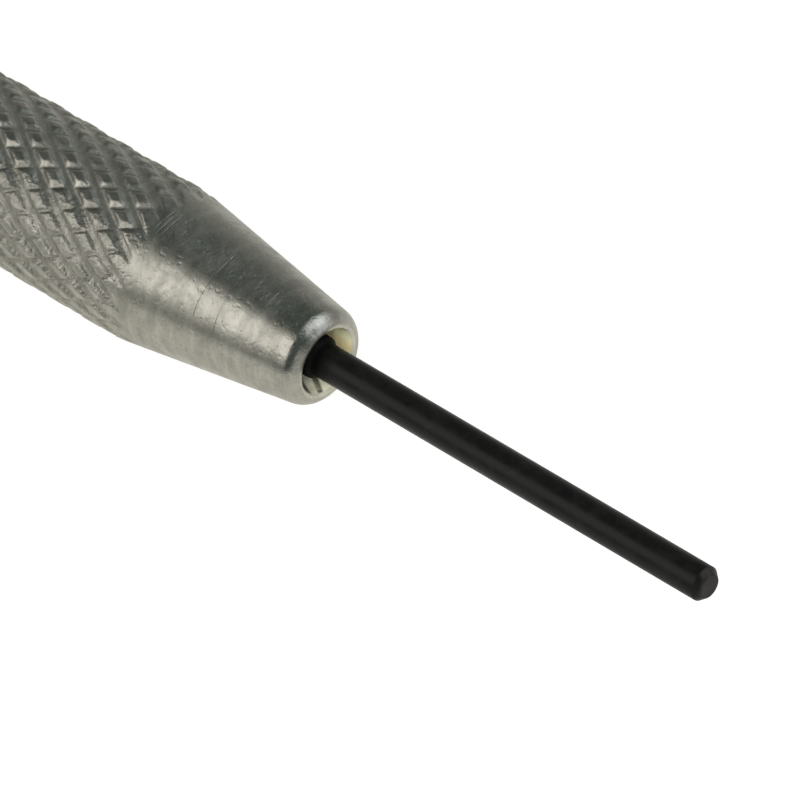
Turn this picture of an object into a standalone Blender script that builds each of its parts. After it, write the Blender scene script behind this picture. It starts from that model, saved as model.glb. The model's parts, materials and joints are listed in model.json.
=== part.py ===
"""A pin punch in a knurled guide sheath, lying along X with its pin towards +X.

The sheath is held in the hand. A sprung striker comes out of its back, carries the headed
punch blade inside it, and drives the blade forward when it is struck.
Every piece is drawn round its own Z axis, with z = 0 at the sheath's mouth and the tip above it.
"""

import math

import bmesh
import bpy

# Clearances
RUNNING_CLEARANCE = 0.0001
SEAT_CLEARANCE = 0.0001
PISTON_CLEARANCE = 0.00015
FACE_GAP = 0.0001

# Punch blade: a stepped pin with a head, like an ejector pin
PIN_DIAMETER = 0.0025
PIN_LENGTH = 0.0342
TIP_CHAMFER_LENGTH = 0.0005
TIP_CHAMFER_DEPTH = 0.0004
ROOT_STEP = 0.0003
ROOT_RECESS = 0.00085
ROOT_SHOULDER_LENGTH = 0.0005
BLADE_HEAD_STEP = 0.00085
BLADE_HEAD_LENGTH = 0.0025

# Guide sheath
SHEATH_LENGTH = 0.072
SHEATH_WALL = 0.0018
NOSE_LENGTH = 0.0158
NOSE_WALL = 0.00103
NOSE_DOME_RADIUS = 0.00153
NOSE_LIP_RADIUS = 0.00032
BORE_SHOULDER_DEPTH = 0.013
REAR_LAND_LENGTH = 0.004
REAR_LAND_DROP = 0.0001
REAR_CHAMFER = 0.0005

# Diamond knurl
KNURL_COUNT = 19
KNURL_HELIX_ANGLE = math.radians(30.3)
KNURL_DEPTH = 0.0003

# Guide bush
BUSH_WALL = 0.00065
BUSH_SLEEVE_LENGTH = 0.0075
BUSH_FLANGE_STEP = 0.0013
BUSH_FLANGE_THICKNESS = 0.001
BUSH_LEAD_IN = 0.0003

# Return spring and its follower
SPRING_WIRE = 0.0007
SPRING_CLEARANCE = 0.0004
SPRING_TURNS = 12
SPRING_END_GAP = 0.0005
WASHER_THICKNESS = 0.0008

# Blade holder and lock nut
HOLDER_LENGTH = 0.017
HOLDER_WALL = 0.00125
HOLDER_FRONT_WALL = 0.0045
HOLDER_CHAMFER = 0.0004
NUT_THICKNESS = 0.0026
NUT_SLOT_WIDTH = 0.0012
NUT_SLOT_DEPTH = 0.0011

# Striker
STROKE = 0.012
STEM_CHAMFER = 0.0004
HEAD_STANDOFF = 0.002
HEAD_DIAMETER = 0.010
HEAD_LENGTH = 0.012
HEAD_FRONT_CHAMFER = 0.0006
HEAD_REAR_RADIUS = 0.0014
NECK_FILLET = 0.0012

# Gland nut and buffer
GLAND_STEP = 0.0005
GLAND_SPIGOT_LENGTH = 0.008
GLAND_RELIEF = 0.0003
HEX_LENGTH = 0.0055
HEX_FACE_INSET = 0.0003
HEX_CHAMFER_ANGLE = math.radians(30)
BUFFER_THICKNESS = 0.0018
BUFFER_EDGE_RADIUS = 0.0004

# Facets
OUTER_SEGMENTS = 48
INNER_SEGMENTS = 36
SPRING_POINTS_PER_TURN = 9
ARC_STEPS = 5
KNURL_STEPS = 2 * KNURL_COUNT

# Radii, worked out from the pin outwards
PIN_RADIUS = PIN_DIAMETER / 2
ROOT_RADIUS = PIN_RADIUS + ROOT_STEP
BLADE_HEAD_RADIUS = ROOT_RADIUS + BLADE_HEAD_STEP
STEM_RADIUS = BLADE_HEAD_RADIUS + SEAT_CLEARANCE
HOLDER_BORE_RADIUS = STEM_RADIUS + SEAT_CLEARANCE
PISTON_RADIUS = HOLDER_BORE_RADIUS + HOLDER_WALL
MAIN_BORE_RADIUS = PISTON_RADIUS + PISTON_CLEARANCE
SHEATH_RADIUS = MAIN_BORE_RADIUS + SHEATH_WALL
KNURL_ROOT_RADIUS = SHEATH_RADIUS - KNURL_DEPTH
REAR_LAND_RADIUS = KNURL_ROOT_RADIUS - REAR_LAND_DROP
GUIDE_RADIUS = ROOT_RADIUS + RUNNING_CLEARANCE
BUSH_RADIUS = GUIDE_RADIUS + BUSH_WALL
NOSE_BORE_RADIUS = BUSH_RADIUS + SEAT_CLEARANCE
NOSE_RADIUS = NOSE_BORE_RADIUS + NOSE_WALL
NOSE_SLOPE = (SHEATH_RADIUS - NOSE_RADIUS) / NOSE_LENGTH
SPIGOT_RADIUS = MAIN_BORE_RADIUS + GLAND_STEP
STEM_GUIDE_RADIUS = STEM_RADIUS + RUNNING_CLEARANCE
HEX_CORNER_RADIUS = SHEATH_RADIUS / math.cos(math.pi / 6)
HEAD_RADIUS = HEAD_DIAMETER / 2

# Stations along the axis, worked out from the mouth back and from the gland forward
TIP_Z = PIN_LENGTH
BORE_SHOULDER_Z = -BORE_SHOULDER_DEPTH
FLANGE_FRONT_Z = BORE_SHOULDER_Z - FACE_GAP
FLANGE_REAR_Z = FLANGE_FRONT_Z - BUSH_FLANGE_THICKNESS
BUSH_FRONT_Z = FLANGE_FRONT_Z + BUSH_SLEEVE_LENGTH
SHEATH_REAR_Z = -SHEATH_LENGTH
GLAND_FRONT_Z = SHEATH_REAR_Z + GLAND_SPIGOT_LENGTH
THREAD_FRONT_Z = GLAND_FRONT_Z + GLAND_RELIEF
BUFFER_REAR_Z = GLAND_FRONT_Z + FACE_GAP
BUFFER_FRONT_Z = BUFFER_REAR_Z + BUFFER_THICKNESS
NUT_REAR_Z = BUFFER_FRONT_Z + FACE_GAP
NUT_FRONT_Z = NUT_REAR_Z + NUT_THICKNESS
HOLDER_REAR_Z = NUT_FRONT_Z + FACE_GAP
HOLDER_FRONT_Z = HOLDER_REAR_Z + HOLDER_LENGTH
WASHER_REAR_Z = HOLDER_FRONT_Z + FACE_GAP
WASHER_FRONT_Z = WASHER_REAR_Z + WASHER_THICKNESS
SPRING_REAR_Z = WASHER_FRONT_Z + FACE_GAP
SPRING_FRONT_Z = FLANGE_REAR_Z - FACE_GAP
BLADE_SEAT_Z = HOLDER_FRONT_Z - HOLDER_FRONT_WALL
BLADE_HEAD_FRONT_Z = BLADE_SEAT_Z - FACE_GAP
BLADE_HEAD_REAR_Z = BLADE_HEAD_FRONT_Z - BLADE_HEAD_LENGTH
STRIKER_FRONT_Z = BLADE_HEAD_REAR_Z - FACE_GAP
HEX_FRONT_Z = SHEATH_REAR_Z - FACE_GAP
HEX_REAR_Z = HEX_FRONT_Z - HEX_LENGTH
HEAD_FRONT_Z = HEX_REAR_Z - STROKE - HEAD_STANDOFF
HEAD_REAR_Z = HEAD_FRONT_Z - HEAD_LENGTH

# Knurl rows: crests and valleys change places from row to row and from step to step
KNURL_ROW_PITCH = math.pi * SHEATH_RADIUS / KNURL_COUNT / math.tan(KNURL_HELIX_ANGLE)
KNURL_FRONT_Z = -NOSE_LENGTH + KNURL_DEPTH / NOSE_SLOPE
KNURL_ROWS = int((KNURL_FRONT_Z - SHEATH_REAR_Z - REAR_LAND_LENGTH) / KNURL_ROW_PITCH)
KNURL_REAR_Z = KNURL_FRONT_Z - KNURL_ROWS * KNURL_ROW_PITCH

# Where the lying tool stands in the world
AXIS_HEIGHT = max(SHEATH_RADIUS, HEAD_RADIUS)
MOUTH_X = -(TIP_Z + HEAD_REAR_Z) / 2

# Base colour, metallic value and roughness
FINISHES = {
    "zinc_plated_steel": ((0.62, 0.62, 0.60), 1.0, 0.32),
    "black_oxide_steel": ((0.035, 0.034, 0.033), 0.8, 0.42),
    "bare_steel": ((0.50, 0.49, 0.47), 1.0, 0.35),
    "spring_steel": ((0.36, 0.36, 0.37), 1.0, 0.30),
    "brass": ((0.78, 0.57, 0.22), 1.0, 0.30),
    "nitrile_rubber": ((0.02, 0.02, 0.02), 0.0, 0.75),
}


def clear_scene():
    for item in list(bpy.data.objects):
        bpy.data.objects.remove(item)


def new_collection(name):
    group = bpy.data.collections.new(name)
    bpy.context.scene.collection.children.link(group)
    return group


def material(name):
    colour, metallic, roughness = FINISHES[name]
    found = bpy.data.materials.get(name)
    if found:
        return found
    made = bpy.data.materials.new(name)
    made.use_nodes = True
    shader = made.node_tree.nodes["Principled BSDF"]
    shader.inputs["Base Color"].default_value = (*colour, 1.0)
    shader.inputs["Metallic"].default_value = metallic
    shader.inputs["Roughness"].default_value = roughness
    return made


def empty(name, group, parent=None):
    made = bpy.data.objects.new(name, None)
    made.empty_display_size = HEAD_DIAMETER
    made.parent = parent
    group.objects.link(made)
    return made


def add(name, data, group, parent, finish=None):
    made = bpy.data.objects.new(name, data)
    made.parent = parent
    group.objects.link(made)
    if finish:
        data.materials.append(material(finish))
    return made


def arc(centre_radius, centre_z, radius, start, end):
    """Points (r, z) on an arc, with angles counted from the radial direction towards +z."""
    points = []
    for step in range(ARC_STEPS + 1):
        angle = start + (end - start) * step / ARC_STEPS
        points.append((centre_radius + radius * math.cos(angle), centre_z + radius * math.sin(angle)))
    return points


def profile_mesh(name, points, closed):
    shape = bmesh.new()
    corners = [shape.verts.new((radius, 0.0, z)) for radius, z in points]
    for first, second in zip(corners, corners[1:]):
        shape.edges.new((first, second))
    if closed:
        shape.edges.new((corners[-1], corners[0]))
    mesh = bpy.data.meshes.new(name)
    shape.to_mesh(mesh)
    shape.free()
    return mesh


def turned(name, points, group, parent, finish=None, closed=True, segments=INNER_SEGMENTS):
    """A profile turned round Z: a ring if it is closed, a solid if its ends lie on the axis."""
    made = add(name, profile_mesh(name, points, closed), group, parent, finish)
    screw = made.modifiers.new("Turn", "SCREW")
    screw.axis = "Z"
    screw.angle = math.tau
    screw.steps = segments
    screw.render_steps = segments
    screw.use_merge_vertices = True
    screw.merge_threshold = 0.000001
    screw.use_smooth_shade = True
    return made


def boolean(target, cutter, operation):
    cutter.hide_render = True
    cutter.display_type = "WIRE"
    cut = target.modifiers.new(cutter.name, "BOOLEAN")
    cut.operation = operation
    cut.solver = "EXACT"
    cut.object = cutter


def nose_cone_radius(z):
    return NOSE_RADIUS - NOSE_SLOPE * z


def nose_dome():
    """The rounded end of the nose: a small lip round the bore, then a wider arc that runs into the cone."""
    cone_angle = math.atan(NOSE_SLOPE)
    lip_radius = NOSE_BORE_RADIUS + NOSE_LIP_RADIUS
    lip_z = -NOSE_LIP_RADIUS
    # The wider arc touches the lip from outside and the cone from inside.
    apart = NOSE_DOME_RADIUS - NOSE_LIP_RADIUS
    inset = NOSE_RADIUS - NOSE_DOME_RADIUS / math.cos(cone_angle)
    drop = lip_radius - inset + NOSE_SLOPE * lip_z
    square = 1 + NOSE_SLOPE**2
    back = (drop * NOSE_SLOPE + math.sqrt(square * apart**2 - drop**2)) / square
    centre_z = lip_z - back
    centre_radius = inset - NOSE_SLOPE * centre_z
    meeting_angle = math.atan2(back, lip_radius - centre_radius)
    lip = arc(lip_radius, lip_z, NOSE_LIP_RADIUS, math.pi, meeting_angle)
    dome = arc(centre_radius, centre_z, NOSE_DOME_RADIUS, meeting_angle, cone_angle)
    return lip + dome[1:]


def roll_knurl(mesh):
    """Lifts the crests and sinks the valleys, then creases each face along its valley."""
    shape = bmesh.new()
    shape.from_mesh(mesh)
    step_angle = math.tau / KNURL_STEPS
    valleys = set()
    for vert in shape.verts:
        row = round((KNURL_FRONT_Z - vert.co.z) / KNURL_ROW_PITCH)
        on_row = abs(KNURL_FRONT_Z - row * KNURL_ROW_PITCH - vert.co.z) < FACE_GAP
        radius = vert.co.xy.length
        if not on_row or not 0 <= row <= KNURL_ROWS or radius < REAR_LAND_RADIUS + REAR_LAND_DROP / 2:
            continue
        step = round(math.atan2(vert.co.y, vert.co.x) / step_angle)
        is_crest = (row + step) % 2 == 0
        wanted = SHEATH_RADIUS if is_crest else KNURL_ROOT_RADIUS
        vert.co.xy *= min(wanted, nose_cone_radius(vert.co.z)) / radius
        if not is_crest:
            valleys.add(vert)
    for face in list(shape.faces):
        low = [vert for vert in face.verts if vert in valleys]
        if len(face.verts) == 4 and len(low) == 2:
            bmesh.utils.face_split(face, low[0], low[1])
    shape.to_mesh(mesh)
    shape.free()


def make_sheath(group, parent):
    rows = [KNURL_FRONT_Z - row * KNURL_ROW_PITCH for row in range(KNURL_ROWS + 1)]
    outside = nose_dome()
    outside += [(min(SHEATH_RADIUS, nose_cone_radius(z)), z) for z in rows]
    outside += [
        (REAR_LAND_RADIUS, KNURL_REAR_Z - KNURL_DEPTH),
        (REAR_LAND_RADIUS, SHEATH_REAR_Z + REAR_CHAMFER),
        (REAR_LAND_RADIUS - REAR_CHAMFER, SHEATH_REAR_Z),
    ]
    thread_radius = SPIGOT_RADIUS + SEAT_CLEARANCE
    inside = [
        (thread_radius, SHEATH_REAR_Z),
        (thread_radius, THREAD_FRONT_Z),
        (MAIN_BORE_RADIUS, THREAD_FRONT_Z),
        (MAIN_BORE_RADIUS, BORE_SHOULDER_Z),
        (NOSE_BORE_RADIUS, BORE_SHOULDER_Z),
    ]
    blank = turned("guide_sheath_blank", outside + inside, group, parent, segments=KNURL_STEPS)
    bpy.context.view_layer.update()
    evaluated = blank.evaluated_get(bpy.context.evaluated_depsgraph_get())
    mesh = bpy.data.meshes.new_from_object(evaluated)
    bpy.data.objects.remove(blank)
    mesh.name = "guide_sheath"
    roll_knurl(mesh)
    mesh.shade_smooth()
    mesh.set_sharp_from_angle(angle=math.radians(12))
    return add("guide_sheath", mesh, group, parent, "zinc_plated_steel")


def make_bush(group, parent):
    flange_radius = BUSH_RADIUS + BUSH_FLANGE_STEP
    points = [
        (BUSH_RADIUS - BUSH_LEAD_IN, BUSH_FRONT_Z),
        (BUSH_RADIUS, BUSH_FRONT_Z - BUSH_LEAD_IN),
        (BUSH_RADIUS, FLANGE_FRONT_Z),
        (flange_radius, FLANGE_FRONT_Z),
        (flange_radius, FLANGE_REAR_Z),
        (GUIDE_RADIUS + BUSH_LEAD_IN, FLANGE_REAR_Z),
        (GUIDE_RADIUS, FLANGE_REAR_Z + BUSH_LEAD_IN),
        (GUIDE_RADIUS, BUSH_FRONT_Z),
    ]
    return turned("guide_bush", points, group, parent, "brass")


def root_shoulder():
    """The blade's root runs into the pin in a swept shoulder."""
    points = []
    for step in range(ARC_STEPS + 1):
        share = step / ARC_STEPS
        lift = share**2 * (3 - 2 * share)
        z = -ROOT_RECESS + ROOT_SHOULDER_LENGTH * (1 - share)
        points.append((PIN_RADIUS + ROOT_STEP * lift, z))
    return points


def make_blade(group, parent):
    points = [
        (0.0, TIP_Z),
        (PIN_RADIUS - TIP_CHAMFER_DEPTH, TIP_Z),
        (PIN_RADIUS, TIP_Z - TIP_CHAMFER_LENGTH),
        *root_shoulder(),
        (ROOT_RADIUS, BLADE_HEAD_FRONT_Z),
        (BLADE_HEAD_RADIUS, BLADE_HEAD_FRONT_Z),
        (BLADE_HEAD_RADIUS, BLADE_HEAD_REAR_Z),
        (0.0, BLADE_HEAD_REAR_Z),
    ]
    return turned(
        "punch_blade", points, group, parent, "black_oxide_steel", closed=False, segments=OUTER_SEGMENTS
    )


def make_holder(group, parent):
    points = [
        (PISTON_RADIUS - HOLDER_CHAMFER, HOLDER_FRONT_Z),
        (PISTON_RADIUS, HOLDER_FRONT_Z - HOLDER_CHAMFER),
        (PISTON_RADIUS, HOLDER_REAR_Z + HOLDER_CHAMFER),
        (PISTON_RADIUS - HOLDER_CHAMFER, HOLDER_REAR_Z),
        (HOLDER_BORE_RADIUS, HOLDER_REAR_Z),
        (HOLDER_BORE_RADIUS, BLADE_SEAT_Z),
        (ROOT_RADIUS + SEAT_CLEARANCE, BLADE_SEAT_Z),
        (ROOT_RADIUS + SEAT_CLEARANCE, HOLDER_FRONT_Z),
    ]
    return turned("blade_holder", points, group, parent, "bare_steel")


def make_lock_nut(group, cutters, parent):
    """A round nut with a spanner slot across its back."""
    points = [
        (PISTON_RADIUS - HOLDER_CHAMFER, NUT_FRONT_Z),
        (PISTON_RADIUS, NUT_FRONT_Z - HOLDER_CHAMFER),
        (PISTON_RADIUS, NUT_REAR_Z),
        (HOLDER_BORE_RADIUS, NUT_REAR_Z),
        (HOLDER_BORE_RADIUS, NUT_FRONT_Z),
    ]
    nut = turned("lock_nut", points, group, parent, "bare_steel")
    shape = bmesh.new()
    bmesh.ops.create_cube(shape, size=1.0)
    bmesh.ops.scale(shape, vec=(4 * PISTON_RADIUS, NUT_SLOT_WIDTH, 2 * NUT_SLOT_DEPTH), verts=shape.verts)
    bmesh.ops.translate(shape, vec=(0.0, 0.0, NUT_REAR_Z), verts=shape.verts)
    mesh = bpy.data.meshes.new("nut_slot_cutter")
    shape.to_mesh(mesh)
    shape.free()
    boolean(nut, add("nut_slot_cutter", mesh, cutters, parent), "DIFFERENCE")
    return nut


def make_washer(group, parent):
    points = [
        (PISTON_RADIUS, WASHER_FRONT_Z),
        (PISTON_RADIUS, WASHER_REAR_Z),
        (GUIDE_RADIUS, WASHER_REAR_Z),
        (GUIDE_RADIUS, WASHER_FRONT_Z),
    ]
    return turned("thrust_washer", points, group, parent, "bare_steel")


def make_striker(group, parent):
    neck_radius = STEM_RADIUS + NECK_FILLET
    neck = arc(neck_radius, HEAD_FRONT_Z + NECK_FILLET, NECK_FILLET, math.pi, 1.5 * math.pi)
    shoulder = arc(
        HEAD_RADIUS - HEAD_REAR_RADIUS, HEAD_REAR_Z + HEAD_REAR_RADIUS, HEAD_REAR_RADIUS, 0.0, -math.pi / 2
    )
    points = [
        (0.0, STRIKER_FRONT_Z),
        (STEM_RADIUS - STEM_CHAMFER, STRIKER_FRONT_Z),
        (STEM_RADIUS, STRIKER_FRONT_Z - STEM_CHAMFER),
        *neck,
        (HEAD_RADIUS - HEAD_FRONT_CHAMFER, HEAD_FRONT_Z),
        (HEAD_RADIUS, HEAD_FRONT_Z - HEAD_FRONT_CHAMFER),
        *shoulder,
        (0.0, HEAD_REAR_Z),
    ]
    return turned("striker", points, group, parent, "black_oxide_steel", closed=False, segments=OUTER_SEGMENTS)


def make_gland(group, cutters, parent):
    """Turned from hexagon bar: a spigot, the hexagon with a chamfered back, and a guide bore."""
    face_radius = SHEATH_RADIUS - HEX_FACE_INSET
    envelope_radius = HEX_CORNER_RADIUS + HEX_FACE_INSET
    chamfer_rise = (envelope_radius - face_radius) * math.tan(HEX_CHAMFER_ANGLE)
    points = [
        (SPIGOT_RADIUS - GLAND_RELIEF, GLAND_FRONT_Z),
        (SPIGOT_RADIUS, GLAND_FRONT_Z - GLAND_RELIEF),
        (SPIGOT_RADIUS, HEX_FRONT_Z),
        (envelope_radius, HEX_FRONT_Z),
        (envelope_radius, HEX_REAR_Z + chamfer_rise),
        (face_radius, HEX_REAR_Z),
        (STEM_GUIDE_RADIUS + GLAND_RELIEF, HEX_REAR_Z),
        (STEM_GUIDE_RADIUS, HEX_REAR_Z + GLAND_RELIEF),
        (STEM_GUIDE_RADIUS, GLAND_FRONT_Z),
    ]
    gland = turned("gland_nut", points, group, parent, "zinc_plated_steel")
    shape = bmesh.new()
    bmesh.ops.create_cone(
        shape,
        cap_ends=True,
        segments=6,
        radius1=HEX_CORNER_RADIUS,
        radius2=HEX_CORNER_RADIUS,
        depth=2 * (GLAND_SPIGOT_LENGTH + HEX_LENGTH),
    )
    bmesh.ops.translate(shape, vec=(0.0, 0.0, HEX_FRONT_Z), verts=shape.verts)
    mesh = bpy.data.meshes.new("gland_hexagon_bar")
    shape.to_mesh(mesh)
    shape.free()
    boolean(gland, add("gland_hexagon_bar", mesh, cutters, parent), "INTERSECT")
    return gland


def make_buffer(group, parent):
    """A rubber ring between the returning striker and the gland."""
    edge = BUFFER_EDGE_RADIUS
    front = arc(PISTON_RADIUS - edge, BUFFER_FRONT_Z - edge, edge, math.pi / 2, 0.0)
    rear = arc(PISTON_RADIUS - edge, BUFFER_REAR_Z + edge, edge, 0.0, -math.pi / 2)
    bore = [
        (STEM_GUIDE_RADIUS, BUFFER_REAR_Z),
        (STEM_GUIDE_RADIUS, BUFFER_FRONT_Z),
    ]
    return turned("buffer_ring", front + rear + bore, group, parent, "nitrile_rubber")


def spring_points():
    """The wire's centre line, with one closer turn at each end."""
    coil_radius = MAIN_BORE_RADIUS - SPRING_CLEARANCE - SPRING_WIRE / 2
    front_z = SPRING_FRONT_Z - SPRING_WIRE / 2
    height = front_z - SPRING_REAR_Z - SPRING_WIRE / 2
    end_pitch = SPRING_WIRE + SPRING_END_GAP
    pitch = (height - 2 * end_pitch) / (SPRING_TURNS - 2)
    points = []
    for step in range(SPRING_TURNS * SPRING_POINTS_PER_TURN + 1):
        turn = step / SPRING_POINTS_PER_TURN
        first = min(turn, 1.0)
        last = max(turn - SPRING_TURNS + 1, 0.0)
        drop = end_pitch * (first + last) + pitch * (turn - first - last)
        angle = math.tau * turn
        points.append((coil_radius * math.cos(angle), coil_radius * math.sin(angle), front_z - drop))
    return points


def least_spring_gap(points):
    half_turn = SPRING_POINTS_PER_TURN // 2
    nearest = min(
        math.dist(first, second)
        for index, first in enumerate(points)
        for second in points[index + half_turn :]
    )
    return nearest - SPRING_WIRE


def make_spring(group, parent):
    points = spring_points()
    print(f"return_spring least gap to itself: {least_spring_gap(points) * 1000:.2f} mm")
    curve = bpy.data.curves.new("return_spring", "CURVE")
    curve.dimensions = "3D"
    curve.bevel_depth = SPRING_WIRE / 2
    curve.bevel_resolution = 1
    curve.use_fill_caps = True
    spline = curve.splines.new("POLY")
    spline.points.add(len(points) - 1)
    for target, place in zip(spline.points, points):
        target.co = (*place, 1.0)
    return add("return_spring", curve, group, parent, "spring_steel")


def main():
    clear_scene()
    group = new_collection("pin_punch")
    cutters = new_collection("pin_punch_cutters")
    axis = empty("punch_axis", group)
    axis.location = (MOUTH_X, 0.0, AXIS_HEIGHT)
    axis.rotation_euler = (0.0, math.pi / 2, 0.0)
    stroke_axis = empty("stroke_axis", group, axis)
    turn_axis = empty("turn_axis", group, stroke_axis)

    make_sheath(group, axis)
    make_bush(group, axis)
    make_gland(group, cutters, axis)
    make_buffer(group, axis)
    make_spring(group, axis)
    make_washer(group, stroke_axis)
    make_striker(group, turn_axis)
    make_lock_nut(group, cutters, turn_axis)
    make_holder(group, turn_axis)
    make_blade(group, turn_axis)


main()
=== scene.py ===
import json
import math

import bmesh
import bpy
from mathutils import Matrix, Vector


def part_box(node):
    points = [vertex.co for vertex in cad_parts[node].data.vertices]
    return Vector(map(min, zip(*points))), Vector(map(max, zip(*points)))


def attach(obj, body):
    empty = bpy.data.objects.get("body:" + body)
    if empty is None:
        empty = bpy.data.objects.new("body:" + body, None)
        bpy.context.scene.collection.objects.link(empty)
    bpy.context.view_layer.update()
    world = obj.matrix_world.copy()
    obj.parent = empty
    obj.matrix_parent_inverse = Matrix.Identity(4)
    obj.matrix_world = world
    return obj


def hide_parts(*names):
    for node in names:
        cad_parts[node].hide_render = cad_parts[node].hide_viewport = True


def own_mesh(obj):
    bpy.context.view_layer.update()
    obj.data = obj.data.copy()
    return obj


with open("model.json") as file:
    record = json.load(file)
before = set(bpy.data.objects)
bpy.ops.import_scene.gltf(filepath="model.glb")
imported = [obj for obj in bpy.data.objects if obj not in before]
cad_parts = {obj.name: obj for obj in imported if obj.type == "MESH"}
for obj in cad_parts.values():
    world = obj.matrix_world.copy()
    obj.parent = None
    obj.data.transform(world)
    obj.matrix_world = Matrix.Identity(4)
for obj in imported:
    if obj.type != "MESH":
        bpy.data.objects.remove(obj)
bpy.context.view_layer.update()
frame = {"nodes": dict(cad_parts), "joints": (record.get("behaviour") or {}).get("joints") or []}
scene = bpy.context.scene
scene.view_settings.view_transform = "Standard"

# places that everything else is set out from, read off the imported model
sheathLow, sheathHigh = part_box("guide_sheath")
bladeLow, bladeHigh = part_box("punch_blade")
strikerLow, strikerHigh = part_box("striker")
glandLow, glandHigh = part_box("gland_nut")
springLow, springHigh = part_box("return_spring")
axisHeight = (sheathLow.z + sheathHigh.z) / 2
crestRadius = max(sheathHigh.y - sheathLow.y, sheathHigh.z - sheathLow.z) / 2
mouthX = sheathHigh.x
rearX = sheathLow.x
tipX = bladeHigh.x
mm = 0.001
perRadian = 180.0 / math.pi


# small helpers for node trees

class wire:
    # an output socket that formulas can be written with
    def __init__(self, socket):
        self.socket = socket
        self.tree = socket.id_data

    def __add__(self, other):
        return calc("ADD", self, other)

    def __sub__(self, other):
        return calc("SUBTRACT", self, other)

    def __rsub__(self, other):
        return calc("SUBTRACT", other, self)

    def __mul__(self, other):
        return calc("MULTIPLY", self, other)

    def __truediv__(self, other):
        return calc("DIVIDE", self, other)

    def __abs__(self):
        return calc("ABSOLUTE", self)


def feed(socket, value):
    # a wire is linked, anything else is set on the input itself
    if isinstance(value, wire):
        value.tree.links.new(value.socket, socket)
    else:
        socket.default_value = value


def put(tree, kind, inputs=(), **settings):
    # inputs are fed by name or by place
    node = tree.nodes.new(kind)
    for key, value in settings.items():
        setattr(node, key, value)
    for key, value in dict(inputs).items():
        feed(node.inputs[key], value)
    return node


def wired(tree, kind, inputs=(), output=0, **settings):
    # one output of a new node
    return wire(put(tree, kind, inputs, **settings).outputs[output])


def byName(sockets):
    return {socket.name: wire(socket) for socket in sockets}


def calc(operation, *values, clamp=False):
    tree = next(value.tree for value in values if isinstance(value, wire))
    return wired(tree, "ShaderNodeMath", enumerate(values), operation=operation, use_clamp=clamp)


def ramp(value, low, high, toLow=0.0, toHigh=1.0):
    inputs = {"Value": value, "From Min": low, "From Max": high, "To Min": toLow, "To Max": toHigh}
    return wired(value.tree, "ShaderNodeMapRange", inputs, "Result", interpolation_type="SMOOTHSTEP")


def window(value, start, full, fade, stop):
    # nothing outside start and stop, all of it between full and fade
    return ramp(value, start, full) * ramp(value, stop, fade)


def mixColour(factor, first, second):
    inputs = {0: factor, 6: first, 7: second}
    return wired(factor.tree, "ShaderNodeMix", inputs, 2, data_type="RGBA", clamp_factor=True)


def noise(vector, scale, detail=2.0, rough=0.5, warp=0.0):
    inputs = {"Vector": vector, "Scale": scale, "Detail": detail, "Roughness": rough, "Distortion": warp}
    return wired(vector.tree, "ShaderNodeTexNoise", inputs, noise_dimensions="3D")


def split(vector):
    return [wire(socket) for socket in put(vector.tree, "ShaderNodeSeparateXYZ", {0: vector}).outputs]


def join(x, y, z):
    return wired(x.tree, "ShaderNodeCombineXYZ", {0: x, 1: y, 2: z})


def fromAxis(y, z):
    return calc("SQRT", y * y + z * z)


def towards(way, y, z):
    # how far a point lies to one side of the axis
    return y * way[0] + z * way[1]


def angleFromTop(y, z):
    # degrees round the axis, from straight up towards -Y
    return calc("ARCTAN2", y * -1.0, z) * perRadian


# shared finish effects

def newEffect(name, sizes, outputs):
    # a vector and some sizes go in, plain values come out
    tree = bpy.data.node_groups.new(name, "ShaderNodeTree")
    tree.interface.new_socket("Vector", in_out="INPUT", socket_type="NodeSocketVector")
    for label, value in sizes.items():
        socket = tree.interface.new_socket(label, in_out="INPUT", socket_type="NodeSocketFloat")
        socket.default_value = value
    for label in outputs:
        tree.interface.new_socket(label, in_out="OUTPUT", socket_type="NodeSocketFloat")
    return tree, byName(put(tree, "NodeGroupInput").outputs), put(tree, "NodeGroupOutput").inputs


def useEffect(group, place, sizes=()):
    inputs = {"Vector": place, **dict(sizes)}
    return byName(put(place.tree, "ShaderNodeGroup", inputs, node_tree=group).outputs)


def makeLatheMarks():
    # fine rings left by the turning tool, broken up round the piece
    sizes = {"Fine": 9000.0, "Coarse": 1500.0, "Around": 150.0}
    tree, given, result = newEffect("latheMarks", sizes, ("Height", "Streak"))
    x, y, z = split(given["Vector"])
    around = given["Around"]
    fine, coarse = (noise(join(x * given[label], y * around, z * around), 1.0, 3.0, 0.6)
                    for label in ("Fine", "Coarse"))
    feed(result["Height"], fine * 0.6 + coarse * 0.4)
    feed(result["Streak"], ramp(coarse, 0.35, 0.68))
    return tree


def makePlatingGrain():
    # mottled crystal of a plated skin, with pits in some of its cells
    sizes = {"Mottle Size": 900.0, "Pit Size": 2600.0, "Pit Share": 0.06}
    tree, given, result = newEffect("platingGrain", sizes, ("Mottle", "Pits", "Height"))
    mottle = noise(given["Vector"], given["Mottle Size"], 4.0, 0.65, 0.6)
    inputs = {"Vector": given["Vector"], "Scale": given["Pit Size"]}
    cells = byName(put(tree, "ShaderNodeTexVoronoi", inputs, feature="F1").outputs)
    chance = byName(put(tree, "ShaderNodeSeparateColor", {0: cells["Color"]}).outputs)
    pitted = calc("LESS_THAN", chance["Red"], given["Pit Share"])
    pitSize = chance["Green"] * 0.22 + 0.10
    pits = ramp(cells["Distance"] / pitSize, 1.0, 0.5) * pitted
    feed(result["Mottle"], ramp(mottle, 0.33, 0.7))
    feed(result["Pits"], pits)
    feed(result["Height"], mottle - pits * 0.4)
    return tree


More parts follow.
